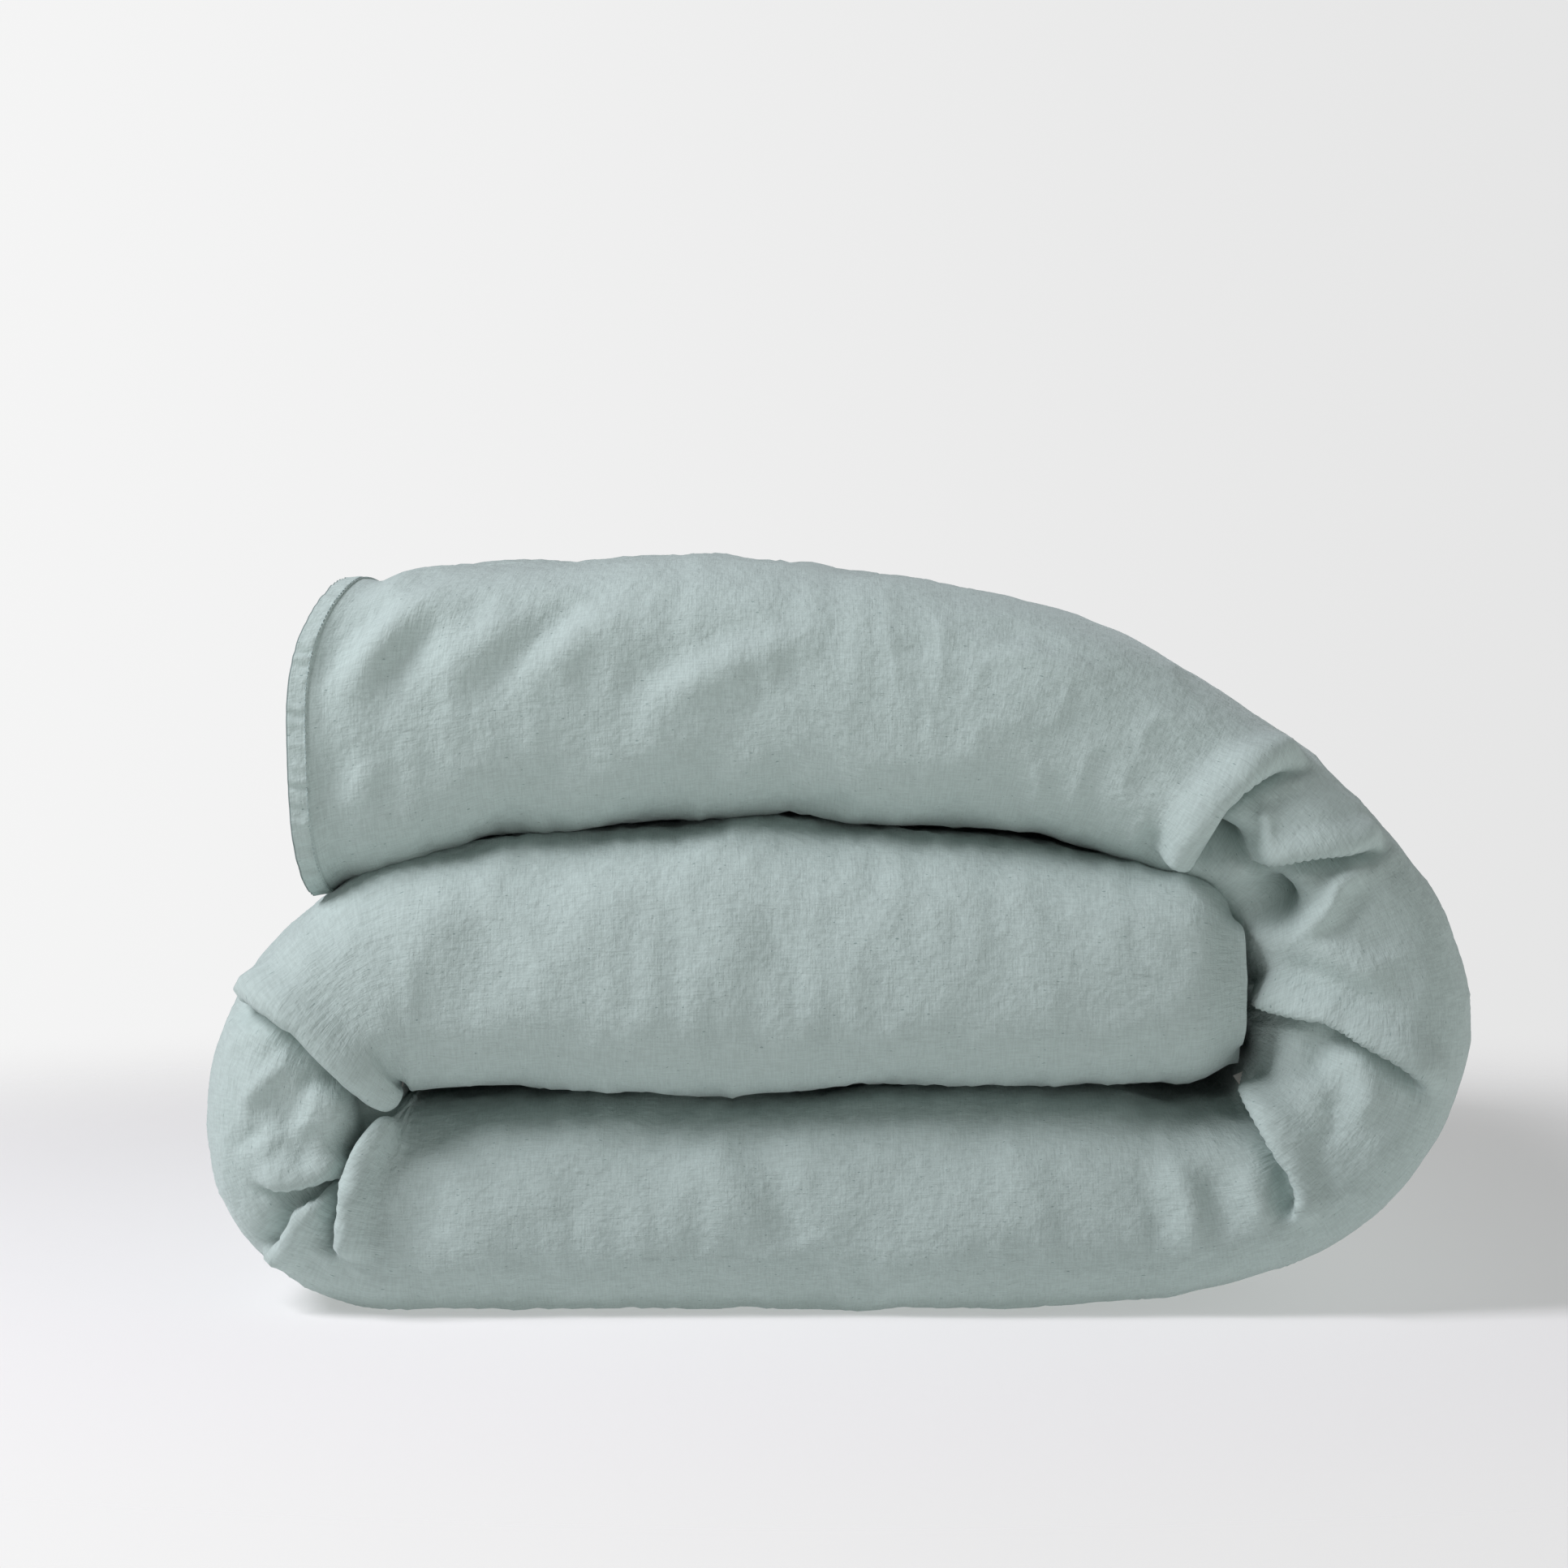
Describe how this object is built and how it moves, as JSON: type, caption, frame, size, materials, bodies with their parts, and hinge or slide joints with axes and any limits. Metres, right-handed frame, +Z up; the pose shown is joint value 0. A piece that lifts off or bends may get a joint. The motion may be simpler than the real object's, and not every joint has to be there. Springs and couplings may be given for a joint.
{
  "type": "duvet",
  "caption": "Filled duvet in a button-closed linen cover, folded into a soft pile whose top leaf lifts about its bend.",
  "frame": {"origin": "on the floor, under the middle of the folded pile's box", "axes": "+X towards the bend on the right, +Y from the front half fold to the open side seams at the back, +Z up"},
  "size_m": [0.8148, 1.0938, 0.4843],
  "materials": {
    "linen": "washed plain-weave linen, matt with a soft sheen on the ridges",
    "linen_seam": "the same linen, doubled and stitched",
    "insert_cotton": "downproof cotton, matt",
    "cotton_tape": "woven cotton tape, matt",
    "button_resin": "pearlescent polyester resin, polished",
    "label_satin": "blank satin ribbon"
  },
  "bodies": {
    "pile": {"button_1": "button_resin", "button_2": "button_resin", "button_3": "button_resin", "button_4": "button_resin", "button_5": "button_resin", "button_6": "button_resin", "button_7": "button_resin", "button_8": "button_resin", "button_placket": "linen_seam", "buttonhole_placket": "linen_seam", "care_label": "label_satin", "corner_tie_foot_inner": "cotton_tape", "corner_tie_foot_outer": "cotton_tape", "cover_inner_panel_bottom_leaf": "linen", "cover_inner_panel_left_bend": "linen", "cover_inner_panel_middle_leaf": "linen", "cover_inner_panel_right_bend": "linen", "cover_outer_panel_bottom_leaf": "linen", "cover_outer_panel_left_bend": "linen", "cover_outer_panel_middle_leaf": "linen", "cover_outer_panel_right_bend": "linen", "insert_chamber_bottom_leaf_1": "insert_cotton", "insert_chamber_bottom_leaf_2": "insert_cotton", "insert_chamber_bottom_leaf_3": "insert_cotton", "insert_chamber_bottom_leaf_4": "insert_cotton", "insert_chamber_left_bend_1": "insert_cotton", "insert_chamber_left_bend_2": "insert_cotton", "insert_chamber_left_bend_3": "insert_cotton", "insert_chamber_left_bend_4": "insert_cotton", "insert_chamber_middle_leaf_1": "insert_cotton", "insert_chamber_middle_leaf_2": "insert_cotton", "insert_chamber_middle_leaf_3": "insert_cotton", "insert_chamber_middle_leaf_4": "insert_cotton", "insert_chamber_right_bend_1": "insert_cotton", "insert_chamber_right_bend_2": "insert_cotton", "insert_chamber_right_bend_3": "insert_cotton", "insert_chamber_right_bend_4": "insert_cotton", "insert_loop_foot_inner": "cotton_tape", "insert_loop_foot_outer": "cotton_tape", "side_hem_inner_pile": "linen_seam", "side_hem_outer_pile": "linen_seam"},
    "top_leaf": {"corner_tie_head_inner": "cotton_tape", "corner_tie_head_outer": "cotton_tape", "cover_inner_panel_top_leaf": "linen", "cover_outer_panel_top_leaf": "linen", "head_hem": "linen_seam", "insert_chamber_top_leaf_1": "insert_cotton", "insert_chamber_top_leaf_2": "insert_cotton", "insert_chamber_top_leaf_3": "insert_cotton", "insert_chamber_top_leaf_4": "insert_cotton", "insert_loop_head_inner": "cotton_tape", "insert_loop_head_outer": "cotton_tape", "side_hem_inner_top_leaf": "linen_seam", "side_hem_outer_top_leaf": "linen_seam"}
  },
  "joints": [
    {"name": "top_leaf_lift", "type": "hinge", "parent": "pile", "child": "top_leaf", "pos_m": [0.22243, 0.0376, 0.41772], "axis": [0, 1, 0], "range_deg": [0, 90]}
  ]
}
